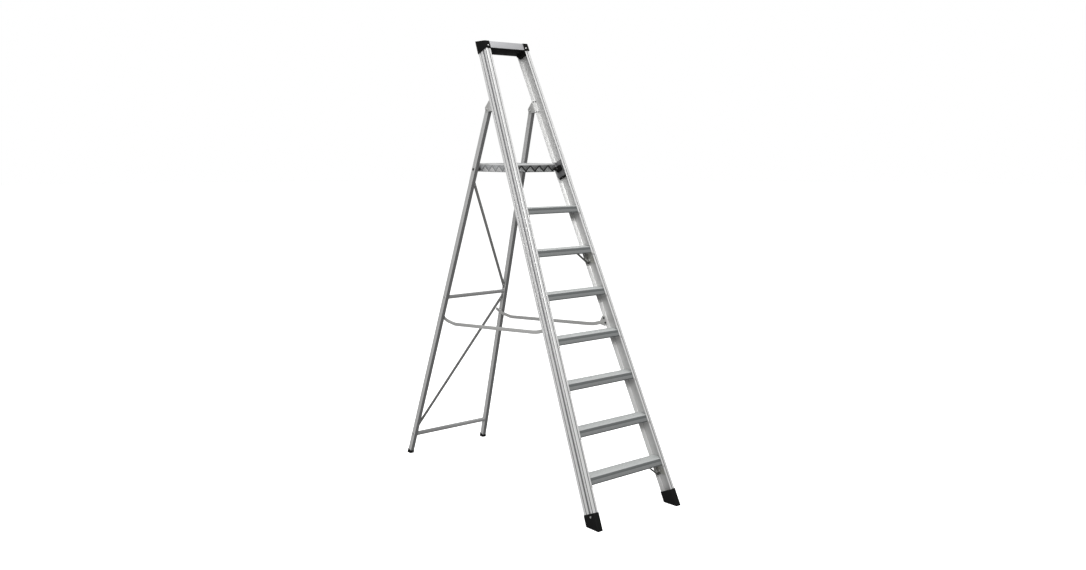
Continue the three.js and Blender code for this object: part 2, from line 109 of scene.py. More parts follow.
@dataclass(frozen=True)
class Layout:
    """Where the two frames stand, in millimetres."""

    lean: float = math.radians(24.0)
    taper: float = 0.06
    half_base: float = 325.0
    front_y: float = -948.6
    stile_depth: float = 85.0
    stile_width: float = 32.0
    web: float = 4.5
    flange: float = 3.5
    stile_start: float = 48.0
    stile_end: float = 2900.0
    rear_slope: float = 0.319
    rear_y: float = 931.9
    leg_half_base: float = 305.0
    leg_width: float = 26.0
    leg_depth: float = 35.0
    leg_start: float = 26.0
    hinge_height: float = 2278.0
    first_tread: float = 260.0
    tread_pitch: float = 240.0
    tread_count: int = 7

    @property
    def rear_lean(self) -> float:
        """Angle of the rear legs from upright."""
        return math.atan(self.rear_slope)

    def front_face(self, height: float) -> float:
        """Y of the stiles' front faces at a height."""
        return self.front_y + height * math.tan(self.lean)

    def tread_top(self, number: int) -> float:
        """Height of a tread's top, counted from the lowest."""
        return self.first_tread + self.tread_pitch * (number - 1)

    def run(self, depth_y: float, height: float) -> float:
        """Distance along a stile of a point seen from the side."""
        return (depth_y - self.front_y) * math.sin(self.lean) + height * math.cos(self.lean)

    def stile_face(self, depth_y: float, height: float) -> float:
        """X of the stiles' outer faces at a point seen from the side."""
        return self.half_base - self.taper * math.cos(self.lean) * self.run(depth_y, height)

    def leg_x(self, height: float) -> float:
        """Distance of the rear legs' centre lines from the middle at a height."""
        return self.leg_half_base - self.taper * height

    def stile_place(self, side: Side) -> Matrix:
        """Matrix that stands a form drawn along Z as a stile."""
        tilt = -side.value * math.atan(self.taper * math.cos(self.lean))
        return (
            Matrix.Translation((0, self.front_y, 0))
            @ Matrix.Rotation(-self.lean, 4, "X")
            @ Matrix.Translation((side.value * self.half_base, 0, 0))
            @ Matrix.Rotation(tilt, 4, "Y")
        )

    def on_stile(self, side: Side) -> Matrix:
        """Matrix that puts a form drawn on the right-hand stile on either stile."""
        return self.stile_place(side) @ side.mirror

    def leg_place(self, side: Side) -> Matrix:
        """Matrix that stands a form drawn along Z as a rear leg."""
        tilt = -side.value * math.atan(self.taper * math.cos(self.rear_lean))
        return (
            self.rear_plane()
            @ Matrix.Translation((side.value * self.leg_half_base, 0, 0))
            @ Matrix.Rotation(tilt, 4, "Y")
        )

    def rear_plane(self) -> Matrix:
        """Matrix of the middle plane of the rear frame."""
        foot = Matrix.Translation((0, self.rear_y, 0))
        return foot @ Matrix.Rotation(self.rear_lean, 4, "X")


LAYOUT = Layout()


# ---------------------------------------------------------------- finishes


class Grain(Enum):
    """The way in which a metal's drawing lines run: Euler turn of the long axis from Z."""

    STILE = (-LAYOUT.lean, 0.0, 0.0)
    LEG = (LAYOUT.rear_lean, 0.0, 0.0)
    CROSS = (0.0, QUARTER, 0.0)
    DEPTH = (QUARTER, 0.0, 0.0)


class NodeBench:
    """Adds and links the shader nodes of one material."""

    worn_from: float = 0.52
    worn_to: float = 0.62

    def __init__(self, name: str) -> None:
        """Starts an empty node material."""
        self.material = bpy.data.materials.new(name)
        self.material.use_nodes = True
        self.tree = self.material.node_tree
        self.tree.nodes.clear()
        self.shader = self.add("ShaderNodeBsdfPrincipled")
        output = self.add("ShaderNodeOutputMaterial")
        self.link(self.shader.outputs["BSDF"], output.inputs["Surface"])
        self.where = self.add("ShaderNodeTexCoord").outputs["Object"]

    def add(self, kind: str, **values: float) -> bpy.types.Node:
        """Adds a node and sets its inputs by name."""
        node = self.tree.nodes.new(kind)
        for key, value in values.items():
            node.inputs[key.replace("_", " ")].default_value = value
        return node

    def link(self, source: bpy.types.NodeSocket, target: bpy.types.NodeSocket) -> None:
        """Links two sockets."""
        self.tree.links.new(source, target)

    def noise(self, scale: float, detail: float, turn: Sequence[float] | None = None,
              stretch: float = 1.0) -> bpy.types.NodeSocket:
        """Adds a noise texture, drawn out along a turned Z axis where one is given.

        Args:
            scale: fineness per metre.
            detail: number of octaves.
            turn: Euler turn of the long axis.
            stretch: how much longer than wide the marks are.

        Returns:
            The noise value's socket.
        """
        texture = self.add("ShaderNodeTexNoise", Scale=scale, Detail=detail, Roughness=0.6)
        source = self.where
        if turn is not None:
            mapping = self.add("ShaderNodeMapping")
            mapping.vector_type = "TEXTURE"
            mapping.inputs["Rotation"].default_value = turn
            mapping.inputs["Scale"].default_value = (1.0, 1.0, stretch)
            self.link(source, mapping.inputs["Vector"])
            source = mapping.outputs["Vector"]
        self.link(source, texture.inputs["Vector"])
        return texture.outputs["Fac"]

    def spread(self, source: bpy.types.NodeSocket, low: float, high: float,
               start: float = 0.3, end: float = 0.7) -> bpy.types.NodeSocket:
        """Maps a value from one span to another and returns its socket."""
        ranger = self.add("ShaderNodeMapRange", From_Min=start, From_Max=end,
                          To_Min=low, To_Max=high)
        self.link(source, ranger.inputs["Value"])
        return ranger.outputs["Result"]

    def blend(self, factor: bpy.types.NodeSocket, first: Colour | bpy.types.NodeSocket,
              second: Colour) -> bpy.types.NodeSocket:
        """Mixes two colours by a factor.

        Args:
            factor: socket of the mixing factor.
            first: colour or socket at factor 0.
            second: colour at factor 1.

        Returns:
            The mixed colour's socket.
        """
        mix = self.add("ShaderNodeMix")
        mix.data_type = "RGBA"
        self.link(factor, mix.inputs["Factor"])
        if isinstance(first, bpy.types.NodeSocket):
            self.link(first, mix.inputs["A"])
        else:
            mix.inputs["A"].default_value = (*first, 1.0)
        mix.inputs["B"].default_value = (*second, 1.0)
        return mix.outputs["Result"]

    def bump(self, height: bpy.types.NodeSocket, strength: float, distance: float) -> None:
        """Gives the shader a relief from a height."""
        bump = self.add("ShaderNodeBump", Strength=strength, Distance=distance)
        self.link(height, bump.inputs["Height"])
        self.link(bump.outputs["Normal"], self.shader.inputs["Normal"])

    def worn_edges(self) -> bpy.types.NodeSocket:
        """Value that rises along the rounded outer edges of a piece."""
        geometry = self.add("ShaderNodeNewGeometry")
        return self.spread(geometry.outputs["Pointiness"], 0.0, 1.0,
                           self.worn_from, self.worn_to)


@dataclass(frozen=True)
class MetalFinish:
    """Drawn or plated metal with fine lines, clouding and rubbed edges."""

    name: str
    colour: Colour
    roughness: float = 0.4
    metallic: float = 0.8
    grain: Grain = Grain.STILE
    clouding: float = 0.12
    lines: float = 0.1
    relief: float = 0.12
    fineness: float = 420.0
    relief_depth: float = 0.0004
    line_length: float = 60.0
    cloud_scale: float = 5.0
    cloud_length: float = 3.0
    smoother: float = 0.06
    rougher: float = 0.08
    rubbed: float = 1.15
    brightest: float = 0.95

    def material(self) -> bpy.types.Material:
        """The finish's node material, made once."""
        found = bpy.data.materials.get(self.name)
        return found or self._make()

    def _make(self) -> bpy.types.Material:
        """Builds the node material."""
        bench = NodeBench(self.name)
        streaks = bench.noise(self.fineness, 3.0, self.grain.value, self.line_length)
        clouds = bench.noise(self.cloud_scale, 4.0, self.grain.value, self.cloud_length)
        darker = tuple(channel * (1.0 - self.clouding * 2.0) for channel in self.colour)
        lined = tuple(channel * (1.0 - self.lines * 2.5) for channel in self.colour)
        brighter = tuple(min(channel * self.rubbed, self.brightest) for channel in self.colour)
        colour = bench.blend(bench.spread(clouds, 0.0, 0.6), self.colour, darker)
        colour = bench.blend(bench.spread(streaks, 0.0, 0.5, 0.45, 0.75), colour, lined)
        colour = bench.blend(bench.worn_edges(), colour, brighter)
        bench.link(colour, bench.shader.inputs["Base Color"])
        rough = bench.spread(streaks, self.roughness - self.smoother,
                             self.roughness + self.rougher)
        bench.link(rough, bench.shader.inputs["Roughness"])
        bench.shader.inputs["Metallic"].default_value = self.metallic
        bench.bump(streaks, self.relief, self.relief_depth)
        return bench.material


@dataclass(frozen=True)
class MouldedFinish:
    """Moulded rubber or plastic with a fine skin and a little dust."""

    name: str
    colour: Colour
    roughness: float = 0.6
    speckle: float = 900.0
    relief: float = 0.2
    dust: Colour = (0.012, 0.012, 0.012)
    gloss: float = 0.04
    relief_depth: float = 0.0005
    cloud_scale: float = 14.0
    smoother: float = 0.08
    rougher: float = 0.1

    def material(self) -> bpy.types.Material:
        """The finish's node material, made once."""
        found = bpy.data.materials.get(self.name)
        return found or self._make()

    def _make(self) -> bpy.types.Material:
        """Builds the node material."""
        bench = NodeBench(self.name)
        skin = bench.noise(self.speckle, 2.0)
        clouds = bench.noise(self.cloud_scale, 5.0)
        dusted = bench.spread(clouds, 0.0, 0.35, 0.45, 0.8)
        colour = bench.blend(dusted, self.colour, self.dust)
        colour = bench.blend(bench.worn_edges(), colour, self.dust)
        bench.link(colour, bench.shader.inputs["Base Color"])
        rough = bench.spread(clouds, self.roughness - self.smoother,
                             self.roughness + self.rougher)
        bench.link(rough, bench.shader.inputs["Roughness"])
        bench.shader.inputs["Specular IOR Level"].default_value = self.gloss
        bench.bump(skin, self.relief, self.relief_depth)
        return bench.material


STILE_METAL = MetalFinish("stile_aluminium", (0.88, 0.88, 0.87), 0.36, 0.6)
# Painted shade: a darker copy of the stile's aluminium for the faces inside the grooves.
GROOVE_PAINTED_SHADE = MetalFinish("groove_painted_shade", (0.17, 0.17, 0.175), 0.5, 0.5)
# Painted shade: a darker copy of the stile's aluminium for the inward-facing faces.
INNER_PAINTED_SHADE = MetalFinish("stile_inner_painted_shade", (0.54, 0.54, 0.535), 0.46, 0.4)
LEG_METAL = MetalFinish("leg_aluminium", (0.51, 0.51, 0.505), 0.42, 0.6, Grain.LEG)
# Painted shade: a far darker copy of the legs' aluminium for their front faces.
LEG_PAINTED_SHADE = MetalFinish("leg_front_painted_shade", (0.15, 0.15, 0.15), 0.45, 0.5, Grain.LEG)
BAR_METAL = MetalFinish("crossbar_aluminium", (0.34, 0.34, 0.34), 0.4, 0.6, Grain.CROSS)
BRACE_METAL = MetalFinish("brace_aluminium", (0.20, 0.20, 0.195), 0.45, 0.6, Grain.CROSS)
STAY_METAL = MetalFinish("stay_aluminium", (0.56, 0.56, 0.55), 0.42, 0.6, Grain.DEPTH)
TREAD_TOP = MetalFinish("tread_top_aluminium", (0.48, 0.495, 0.49), 0.52, 0.3, Grain.CROSS,
                        0.16, 0.2)
# Painted shade: a darker copy of the tread top's aluminium for the sloping front.
TREAD_FRONT_PAINTED_SHADE = MetalFinish("tread_front_painted_shade", (0.165, 0.174, 0.175), 0.45, 0.6,
                          Grain.CROSS, 0.2, 0.2)
# Painted shade, lighter than on the upper front, for the front's beaded lower half.
TREAD_BEAD_PAINTED_SHADE = MetalFinish("tread_bead_painted_shade", (0.265, 0.275, 0.275), 0.42, 0.6, Grain.CROSS,
                         0.2, 0.2)
# Painted shade, the darkest, for the tread's lower edge and underside.
TREAD_UNDERSIDE_PAINTED_SHADE = MetalFinish("tread_underside_painted_shade", (0.09, 0.095, 0.095), 0.5, 0.5, Grain.CROSS)
TOP_METAL = MetalFinish("top_bar_aluminium", (0.56, 0.56, 0.575), 0.4, 0.6, Grain.CROSS)
PLATE_METAL = MetalFinish("chequer_plate", (0.27, 0.275, 0.28), 0.5, 0.5, Grain.CROSS, 0.2)
# Painted shade: a near-black ground for the platform's front skirt.
PLATE_FRONT_PAINTED_SHADE = MetalFinish("chequer_plate_front_painted_shade", (0.012, 0.012, 0.012), 0.6, 0.3,
                          Grain.CROSS, 0.2)
# Painted highlight: a bright copy of the bars' aluminium for one turn of bars on the side
# skirts.
BARS_PAINTED_HIGHLIGHT = MetalFinish("chequer_bars_light", (0.80, 0.80, 0.80), 0.34, 0.6,
                         Grain.CROSS, 0.15)
BARS_DULL = MetalFinish("chequer_bars_dull", (0.50, 0.51, 0.52), 0.4, 0.6, Grain.CROSS, 0.15)
# Painted shade for one turn of bars on the front skirt.
BARS_PAINTED_SHADE = MetalFinish("chequer_bars_painted_shade", (0.42, 0.43, 0.43), 0.4, 0.6, Grain.CROSS, 0.15)
# Deeper painted shade for the other turn of bars on the front skirt.
BARS_PAINTED_DEEP_SHADE = MetalFinish("chequer_bars_painted_deep_shade", (0.27, 0.275, 0.275), 0.4, 0.6, Grain.CROSS, 0.15)
RIM_METAL = MetalFinish("platform_rim", (0.90, 0.91, 0.91), 0.36, 0.6, Grain.CROSS)
ZINC = MetalFinish("zinc_plate", (0.50, 0.50, 0.46), 0.45, 0.5, Grain.CROSS, 0.25, 0.05)
DARK_STEEL = MetalFinish("dark_steel_plate", (0.20, 0.20, 0.205), 0.5, 0.4, Grain.STILE, 0.2)
BOLT_STEEL = MetalFinish("bolt_steel", (0.55, 0.55, 0.54), 0.3, 0.8, Grain.CROSS, 0.15)
# Painted shade: a dark copy of the bracket's plate for the strap that lies under the tread.
STRAP_PAINTED_SHADE = MetalFinish("strap_painted_shade", (0.10, 0.105, 0.095), 0.5, 0.4, Grain.CROSS, 0.2)
DARK_BOLT = MetalFinish("dark_bolt_steel", (0.05, 0.05, 0.05), 0.4, 0.6, Grain.CROSS, 0.15)
# Bar finishes per face and turn: the top is even; the front skirt gets painted shade, the side
# skirts a painted highlight on one turn, drawing the zigzag.
PLATFORM_BARS: dict[str, list[MetalFinish]] = {
    "top": [BARS_DULL, BARS_DULL],
    "front": [BARS_PAINTED_DEEP_SHADE, BARS_PAINTED_SHADE],
    "left": [BARS_DULL, BARS_PAINTED_HIGHLIGHT],
    "right": [BARS_DULL, BARS_PAINTED_HIGHLIGHT],
}
RUBBER = MouldedFinish("black_rubber", (0.005, 0.005, 0.005), 0.62)
CAP_PLASTIC = MouldedFinish("black_cap_plastic", (0.004, 0.004, 0.004), 0.7, 1400.0, 0.12)
INFILL_PLASTIC = MouldedFinish("infill_plastic", (0.012, 0.012, 0.012), 0.6, 700.0, 0.3)

Finish = MetalFinish | MouldedFinish


# ---------------------------------------------------------------- forms


def oblong(half_x: float, half_y: float, rounding: float) -> list[Corner]:
    """Outline of an oblong about the middle with rounded corners."""
    return [(-half_x, -half_y, rounding), (half_x, -half_y, rounding),
            (half_x, half_y, rounding), (-half_x, half_y, rounding)]


def ease(form: BMesh, edges: Sequence[BMEdge], size: float, clamp: bool = True) -> None:
    """Rounds edges by a size, held back where they crowd if clamped."""
    bmesh.ops.bevel(form, geom=list(edges), offset=size, affect="EDGES",
                    segments=EDGE_STEPS, profile=0.5, material=-1, clamp_overlap=clamp)


def drawn(corners: Sequence[Corner], length: float, end_edge: float = 0.0) -> BMesh:
    """Rounds the corners of an outline and draws it out along Z.

    Args:
        corners: X, Y and rounding of each corner, in millimetres.
        length: how far it is drawn.
        end_edge: rounding of the edges of both ends.

    Returns:
        The closed form.
    """
    form = bmesh.new()
    verts = [form.verts.new((x, y, 0.0)) for x, y, _ in corners]
    form.faces.new(verts)
    for radius in sorted({corner[2] for corner in corners} - {0.0}):
        chosen = [v for v, corner in zip(verts, corners) if corner[2] == radius]
        bmesh.ops.bevel(form, geom=chosen, offset=radius, affect="VERTICES",
                        segments=CORNER_STEPS, profile=0.5, material=-1)
    grown = bmesh.ops.extrude_face_region(form, geom=form.faces[:])
    moved = [item for item in grown["geom"] if isinstance(item, BMVert)]
    bmesh.ops.translate(form, verts=moved, vec=(0.0, 0.0, length))
    bmesh.ops.recalc_face_normals(form, faces=form.faces)
    if end_edge:
        ease(form, [edge for edge in form.edges if _on_cap(edge)], end_edge)
    return form


def _is_cap(face: BMFace) -> bool:
    """True for one of a drawn form's two ends."""
    return abs(abs(face.normal.z) - 1.0) < TINY


def _on_cap(edge: BMEdge) -> bool:
    """True where an edge bounds one of a drawn form's two ends."""
    return [_is_cap(face) for face in edge.link_faces].count(True) == 1


def tube(corners: Sequence[Corner], length: float, wall: float) -> BMesh:
    """Draws an outline out along Z as an open-ended tube with an even wall."""
    form = drawn(corners, length)
    ends = [face for face in form.faces if _is_cap(face)]
    bmesh.ops.delete(form, geom=ends, context="FACES_ONLY")
    bmesh.ops.recalc_face_normals(form, faces=form.faces)
    bmesh.ops.solidify(form, geom=form.faces[:], thickness=wall)
    return form


def turned(profile: Sequence[Point], turns: int = TURNS) -> BMesh:
    """Turns a profile of distance along X and radius into a closed round form."""
    form = bmesh.new()
    verts = [form.verts.new((along, 0.0, radius)) for along, radius in profile]
    edges = [form.edges.new(pair) for pair in zip(verts, verts[1:])]
    bmesh.ops.spin(form, geom=[*verts, *edges], cent=(0, 0, 0), axis=(1, 0, 0),
                   angle=math.tau, steps=turns, use_merge=True)
    bmesh.ops.remove_doubles(form, verts=form.verts, dist=TINY * 10)
    bmesh.ops.recalc_face_normals(form, faces=form.faces)
    return form


def block(low: Sequence[float], high: Sequence[float], edge: float) -> BMesh:
    """A box between two corners with rounded edges."""
    form = bmesh.new()
    bmesh.ops.create_cube(form, size=1.0)
    size = [b - a for a, b in zip(low, high)]
    middle = [(a + b) / 2 for a, b in zip(low, high)]
    bmesh.ops.scale(form, verts=form.verts, vec=size)
    bmesh.ops.translate(form, verts=form.verts, vec=middle)
    ease(form, form.edges[:], edge, clamp=False)
    return form


def dome(radius: float, height: float) -> BMesh:
    """A rivet's head that stands on X = 0 and rises along +X."""
    sink = 0.6
    return turned([(-sink, 0.0), (-sink, radius), (height * 0.25, radius),
                   (height * 0.7, radius * 0.78), (height * 0.95, radius * 0.42),
                   (height, 0.0)], HEAD_TURNS)


def hex_head(across: float, height: float) -> BMesh:
    """A six-sided bolt head that rises along +Z."""
    reach = across / math.sqrt(3.0)
    corners = [(reach * math.cos(k * math.pi / 3), reach * math.sin(k * math.pi / 3), 0.3)
               for k in range(6)]
    return drawn(corners, height, end_edge=0.7)


class Piece:
    """One named piece: forms brought together, placed, dressed and hung on a body."""

    def __init__(self, name: str, body: Body, finishes: Sequence[Finish], slot: Slot) -> None:
        """Starts an empty piece."""
        self.name = name
        self.body = body
        self.finishes = list(finishes)
        self.slot = slot
        self.mesh = bpy.data.meshes.new(name)
        self.form = bmesh.new()

    def add(self, form: BMesh, place: Matrix = Matrix.Identity(4), finish: int = -1) -> None:
        """Adds a form in millimetres.

        Args:
            form: the form, which is used up.
            place: where it goes.
            finish: index of its finish, or -1 where its faces already say.
        """
        bmesh.ops.transform(form, matrix=Matrix.Scale(MM, 4) @ place, verts=form.verts)
        if place.determinant() < 0:
            bmesh.ops.reverse_faces(form, faces=form.faces)
        if finish >= 0:
            for face in form.faces:
                face.material_index = finish
        spare = bpy.data.meshes.new("spare")
        form.to_mesh(spare)
        form.free()
        self.form.from_mesh(spare)
        bpy.data.meshes.remove(spare)

    def add_node(self, node: str, edge: float) -> None:
        """Adds a copy of a solid with its sharp edges rounded by a radius in millimetres."""
        form = bmesh.new()
        form.from_mesh(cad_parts[node].data)
        bmesh.ops.remove_doubles(form, verts=form.verts, dist=TINY * MM * 100)
        bmesh.ops.dissolve_limit(form, angle_limit=math.radians(1.0), verts=form.verts,
                                 edges=form.edges)
        sharp = [e for e in form.edges if e.is_manifold and e.calc_face_angle() > SHARP]
        ease(form, sharp, edge * MM)
        for face in form.faces:
            face.material_index = 0
        bmesh.ops.scale(form, verts=form.verts, vec=(1 / MM,) * 3)
        self.add(form)

    def hang(self, *nodes: str) -> bpy.types.Object:
        """Finishes the piece.

        Args:
            nodes: names of the solids that the piece stands for.

        Returns:
            The finished object.
        """
        self.form.to_mesh(self.mesh)
        self.form.free()
        for polygon in self.mesh.polygons:
            polygon.use_smooth = True
        self.mesh.set_sharp_from_angle(angle=SHARP)
        for finish in self.finishes:
            self.mesh.materials.append(finish.material())
        made = bpy.data.objects.new(self.name, self.mesh)
        bpy.context.scene.collection.objects.link(made)
        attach(made, self.body.value)
        if nodes:
            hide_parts(*nodes)
        log.info("%s: %d faces", self.name, len(self.mesh.polygons))
        return made


def soften(node: str, body: Body, finish: Finish, slot: Slot, edge: float) -> bpy.types.Object:
    """Replaces a solid by its rounded and dressed copy, named after it."""
    piece = Piece(f"{node}_finished", body, [finish], slot)
    piece.add_node(node, edge)
    return piece.hang(node)


def mark(form: BMesh, test: Callable[[Vector], bool], finish: int) -> None:
    """Gives a finish to the faces whose middles pass a test."""
    for face in form.faces:
        if test(face.calc_center_median()):
            face.material_index = finish


def mark_facing(form: BMesh, way: Vector, finish: int) -> None:
    """Gives a finish to the faces that face a way, within 45 degrees."""
    form.normal_update()
    for face in form.faces:
        if face.normal.dot(way) > math.sqrt(0.5):
            face.material_index = finish


# ---------------------------------------------------------------- front frame


@dataclass
class Stiles:
    """The two ribbed channels that carry the treads."""

    grooves: tuple[Point, ...] = ((6.5, 12.5), (27.0, 41.0), (60.5, 66.5))
    groove_depth: float = 2.4
    wide_groove: float = 10.0
    flange_groove: Point = (15.5, 21.0)
    reed_count: int = 3
    reed_rise: float = 0.8
    reed_margin: float = 2.0
    end_edge: float = 0.3

    def outline(self) -> list[Corner]:
        """Section of the right-hand stile: X from its outer face, Y from its front."""
        wide, deep = LAYOUT.stile_width, LAYOUT.stile_depth
        low = -self.groove_depth
        near, far = self.flange_groove
        corners = [(-wide, 0.0, 0.9), (-far, 0.0, 0.3), (-far + 0.8, 2.0, 0.4),
                   (-near - 0.8, 2.0, 0.4), (-near, 0.0, 0.3), (0.0, 0.0, 1.8)]
        for start, end in self.grooves:
            corners += [(0.0, start, 0.35), (low, start + 0.7, 0.4)]
            if end - start > self.wide_groove:
                corners += self._reeds(start, end)
            corners += [(low, end - 0.7, 0.4), (0.0, end, 0.35)]
        inner = deep - LAYOUT.flange
        return corners + [
            (0.0, deep, 2.6), (-wide, deep, 0.9), (-wide, inner, 0.9),
            (-LAYOUT.web, inner, 1.6), (-LAYOUT.web, LAYOUT.flange, 1.6),
            (-wide, LAYOUT.flange, 0.9),
        ]

    def _reeds(self, start: float, end: float) -> list[Corner]:
        """Fine reeds along the bottom of the wide groove."""
        reeds: list[Corner] = []
        low, high = -self.groove_depth, -self.groove_depth + self.reed_rise
        pitch = (end - start - self.reed_margin * 2) / self.reed_count
        for k in range(self.reed_count):
            at = start + self.reed_margin + pitch * (k + 0.5)
            reeds += [(low, at - 1.0, 0.0), (high, at - 0.5, 0.0),
                      (high, at + 0.5, 0.0), (low, at + 1.0, 0.0)]
        return reeds

    def in_groove(self, place: Vector) -> bool:
        """True for a face inside one of the grooves of the right-hand stile."""
        shallow = 0.35
        on_face = -self.groove_depth - TINY < place.x < -shallow
        beside = any(start < place.y < end for start, end in self.grooves)
        near, far = self.flange_groove
        on_front = shallow < place.y < LAYOUT.flange - 1.0 and -far < place.x < -near
        return (on_face and beside) or on_front

    def build(self) -> None:
        """Draws both stiles and replaces their solids."""
        for side in Side:
            length = LAYOUT.stile_end - LAYOUT.stile_start
            form = drawn(self.outline(), length, self.end_edge)
            # Each stile's inward-facing faces get painted shade.
            mark_facing(form, Vector((-1.0, 0.0, 0.0)), 2)
            # The faces inside the grooves get painted shade.
            mark(form, self.in_groove, 1)
            lift = Matrix.Translation((0, 0, LAYOUT.stile_start))
            piece = Piece(f"ribbed_stile_{side.word}", Body.FRONT,
                          [STILE_METAL, GROOVE_PAINTED_SHADE, INNER_PAINTED_SHADE], Slot.EXTRUSION)
            piece.add(form, LAYOUT.on_stile(side) @ lift)
            piece.hang(f"{side.word}_stile")


@dataclass
class Treads:
    """Seven deep treads with a gripping top, and the tabs that hold them."""

    setback: float = 6.2
    depth: float = 79.0
    drop: float = 37.0
    rib_pitch: float = 4.4
    rib_depth: float = 1.3
    clearance: float = 4.8
    tab: float = 7.0
    nose: float = 2.5
    bead: float = 15.5
    lip: float = 33.0
    seed: float = 2.0
    top_wall: float = 3.5
    wall: float = 2.5
    skirt: float = 22.0
    stems: tuple[float, ...] = (53.0, 28.0)
    stem_drop: float = 12.0
    rib_start: float = 9.0
    rib_room: float = 12.0
    face: tuple[Corner, ...] = (
        (37.0, -1.0, 0.8), (30.5, -1.2, 0.5), (29.0, 0.6, 0.4), (27.5, 0.0, 0.4),
        (17.0, 0.0, 0.3), (16.0, 0.9, 0.3), (15.0, 0.0, 0.3), (6.0, -0.5, 1.2),
    )
    inside: tuple[Corner, ...] = ((34.5, 2.5, 0.6), (34.5, 12.0, 0.6), (37.0, 13.0, 0.6))
    tab_lap: float = 1.2
    tab_reach: Point = (-1.4, 4.4)
    tab_rivet: Point = (3.0, 1.6)
    tab_rivet_in: float = 3.4

    def outline(self) -> list[Corner]:
        """Section of a tread: Y back from its nose, Z up from its top."""
        slant = math.tan(LAYOUT.lean)
        back, skirt, wall, under = self.depth, self.skirt, self.wall, -self.top_wall
        corners = [(behind - drop * slant, -drop, rounding)
                   for drop, behind, rounding in self.face]
        corners.append((2.0, 0.0, 2.2))
        for k in range(int((back - self.rib_room) / self.rib_pitch)):
            at = self.rib_start + self.rib_pitch * k
            corners += [(at - 0.9, 0.0, 0.25), (at - 0.5, -self.rib_depth, 0.2),
                        (at + 0.5, -self.rib_depth, 0.2), (at + 0.9, 0.0, 0.25)]
        corners += [
            (back, 0.0, 1.5), (back - skirt * slant, -skirt, 0.6),
            (back - skirt * slant - wall, -skirt, 0.6),
            (back + under * slant - wall, under, 0.8),
        ]
        for stem in self.stems:
            corners += [(stem, under, 0.5), (stem, -self.stem_drop, 0.4),
                        (stem - wall, -self.stem_drop, 0.4), (stem - wall, under, 0.5)]
        corners += [(7.0, under, 0.8), (wall + 0.5, -6.5, 0.8)]
        return corners + [(behind - drop * slant, -drop, rounding)
                          for drop, behind, rounding in self.inside]

    def build(self) -> None:
        """Draws every tread between the stiles' webs and replaces its solid."""
        for number in range(1, LAYOUT.tread_count + 1):
            top = LAYOUT.tread_top(number)
            front = LAYOUT.front_face(top) + self.setback
            form = drawn(self.outline(), self.seed)
            place = Matrix.Translation((-self.seed / 2, front, top)) @ SIDEWAYS
            bmesh.ops.transform(form, matrix=place, verts=form.verts)
            for vert in form.verts:
                reach = LAYOUT.stile_face(vert.co.y, vert.co.z) - self.clearance
                vert.co.x = math.copysign(reach, vert.co.x)
            self._dress(form, front, top)
            piece = Piece(f"ribbed_tread_{number}", Body.FRONT,
                          [TREAD_TOP, TREAD_FRONT_PAINTED_SHADE, TREAD_BEAD_PAINTED_SHADE, TREAD_UNDERSIDE_PAINTED_SHADE], Slot.WALKING)
            piece.add(form)
            piece.hang(f"tread_{number}")
        self._tabs()

    def _dress(self, form: BMesh, front: float, top: float) -> None:
        """Paints shade onto the front, its bead and the lower edge and underside; the top
        keeps its finish.

        Args:
            form: the placed tread.
            front: Y of the tread's nose.
            top: height of the tread's top.
        """
        slant = math.tan(LAYOUT.lean)

        def on_front(place: Vector) -> bool:
            """True on the sloping front."""
            drop = top - place.z
            return drop > self.nose and place.y - front < 2.0 - drop * slant

        def on_bead(place: Vector) -> bool:
            """True on the beaded lower half of the front."""
            return on_front(place) and top - place.z > self.bead

        def on_edge(place: Vector) -> bool:
            """True on the front's lower edge and the underside."""
            return top - place.z > self.lip

        # Painted shade on the front, the bead and the underside.
        mark(form, on_front, 1)
        mark(form, on_bead, 2)
        mark(form, on_edge, 3)

    def _tabs(self) -> None:
        """Small bright tabs at the foot of each tread's front, on the stiles' edges."""
        for side in Side:
            piece = Piece(f"tread_tabs_{side.word}", Body.FRONT, [BOLT_STEEL], Slot.FASTENER)
            for number in range(1, LAYOUT.tread_count + 1):
                low = LAYOUT.tread_top(number) - self.drop - 1.0
                run = LAYOUT.run(LAYOUT.front_face(low), low)
                inner = -LAYOUT.stile_width
                proud, deep = self.tab_reach
                form = block((inner - self.tab_lap, proud, run - self.tab),
                             (inner + self.tab, deep, run + self.tab), THIN_EDGE)
                piece.add(form, LAYOUT.on_stile(side), 0)
                spot = Matrix.Translation((inner + self.tab_rivet_in, proud, run)) @ FORWARD
                piece.add(dome(*self.tab_rivet), LAYOUT.on_stile(side) @ spot, 0)
            piece.hang()


